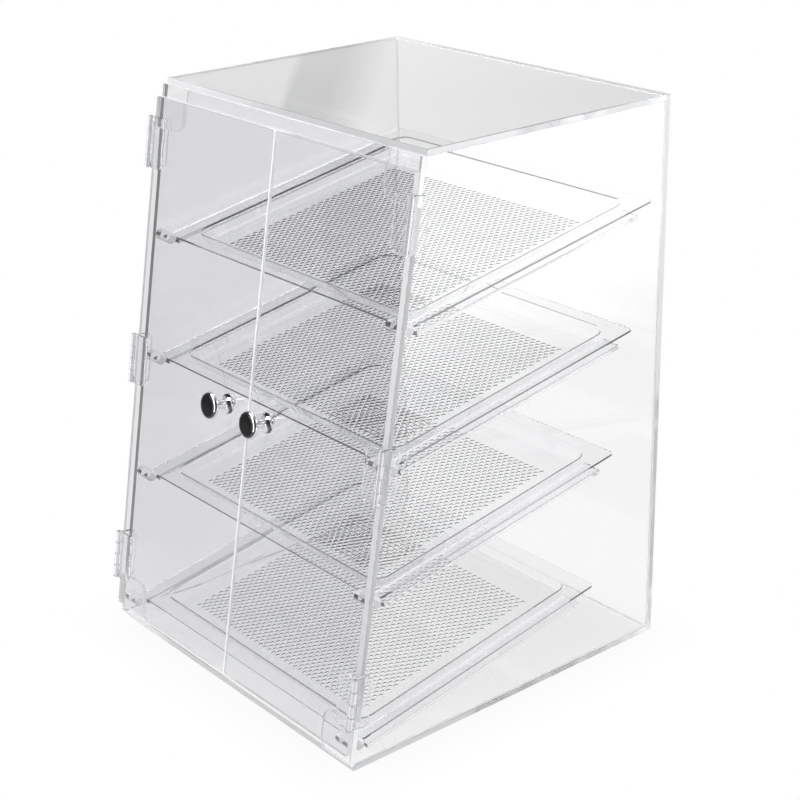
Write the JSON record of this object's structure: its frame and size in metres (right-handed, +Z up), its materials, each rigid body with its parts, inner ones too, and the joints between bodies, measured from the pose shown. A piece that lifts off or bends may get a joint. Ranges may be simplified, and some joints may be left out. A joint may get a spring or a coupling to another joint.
{
  "type": "countertop bread display bin",
  "caption": "Clear countertop bakery case with a back-leaning front, hinged clear doors with round knobs, and tilted lift-out trays on side rails.",
  "frame": {"origin": "middle of the case's footprint, on the counter", "axes": "+X to the right as seen from the doors, +Y to the back, +Z up"},
  "size_m": [0.361, 0.3576, 0.5],
  "materials": {
    "case_acrylic": "gloss",
    "door_acrylic": "gloss",
    "moulded_clear": "gloss",
    "hinge_clear": "gloss",
    "pin_steel": "satin",
    "screw_steel": "satin",
    "knob_chrome": "polished",
    "inlay_black": "gloss"
  },
  "bodies": {
    "case": {"base_panel": "case_acrylic", "top_panel": "case_acrylic", "back_panel": "case_acrylic", "left_side_panel": "case_acrylic", "right_side_panel": "case_acrylic", "header_strip": "case_acrylic", "upper_left_corner_plate": "case_acrylic", "upper_right_corner_plate": "case_acrylic", "lower_left_corner_plate": "case_acrylic", "lower_right_corner_plate": "case_acrylic", "bottom_left_rail": "case_acrylic", "bottom_right_rail": "case_acrylic", "lower_left_rail": "case_acrylic", "lower_right_rail": "case_acrylic", "upper_left_rail": "case_acrylic", "upper_right_rail": "case_acrylic", "top_left_rail": "case_acrylic", "top_right_rail": "case_acrylic", "bottom_left_stop_peg": "case_acrylic", "bottom_right_stop_peg": "case_acrylic", "lower_left_stop_peg": "case_acrylic", "lower_right_stop_peg": "case_acrylic", "upper_left_stop_peg": "case_acrylic", "upper_right_stop_peg": "case_acrylic", "top_left_stop_peg": "case_acrylic", "top_right_stop_peg": "case_acrylic", "left_upper_hinge_case_leaf": "hinge_clear", "left_middle_hinge_case_leaf": "hinge_clear", "left_lower_hinge_case_leaf": "hinge_clear", "right_upper_hinge_case_leaf": "hinge_clear", "right_middle_hinge_case_leaf": "hinge_clear", "right_lower_hinge_case_leaf": "hinge_clear", "left_upper_hinge_pin": "pin_steel", "left_middle_hinge_pin": "pin_steel", "left_lower_hinge_pin": "pin_steel", "right_upper_hinge_pin": "pin_steel", "right_middle_hinge_pin": "pin_steel", "right_lower_hinge_pin": "pin_steel"},
    "left_door": {"left_door": "door_acrylic", "left_knob": "knob_chrome", "left_knob_inlay": "inlay_black", "left_knob_screw": "screw_steel", "left_upper_hinge_door_leaf": "hinge_clear", "left_middle_hinge_door_leaf": "hinge_clear", "left_lower_hinge_door_leaf": "hinge_clear"},
    "right_door": {"right_door": "door_acrylic", "right_knob": "knob_chrome", "right_knob_inlay": "inlay_black", "right_knob_screw": "screw_steel", "right_upper_hinge_door_leaf": "hinge_clear", "right_middle_hinge_door_leaf": "hinge_clear", "right_lower_hinge_door_leaf": "hinge_clear"},
    "bottom_tray": {"bottom_tray": "moulded_clear"},
    "lower_tray": {"lower_tray": "moulded_clear"},
    "upper_tray": {"upper_tray": "moulded_clear"},
    "top_tray": {"top_tray": "moulded_clear"}
  },
  "joints": [
    {"name": "left_door_hinge", "type": "hinge", "parent": "case", "child": "left_door", "pos_m": [-0.1775, -0.14263, 0.25156], "axis": [0, -0.1736, -0.9848], "range_deg": [0, 180]},
    {"name": "right_door_hinge", "type": "hinge", "parent": "case", "child": "right_door", "pos_m": [0.1775, -0.14263, 0.25156], "axis": [0, 0.1736, 0.9848], "range_deg": [0, 180]},
    {"name": "bottom_tray_lift", "type": "slide", "parent": "case", "child": "bottom_tray", "axis": [0, 0, 1], "range_m": [0, 0.02]},
    {"name": "lower_tray_lift", "type": "slide", "parent": "case", "child": "lower_tray", "axis": [0, 0, 1], "range_m": [0, 0.02]},
    {"name": "upper_tray_lift", "type": "slide", "parent": "case", "child": "upper_tray", "axis": [0, 0, 1], "range_m": [0, 0.02]},
    {"name": "top_tray_lift", "type": "slide", "parent": "case", "child": "top_tray", "axis": [0, 0, 1], "range_m": [0, 0.02]}
  ]
}
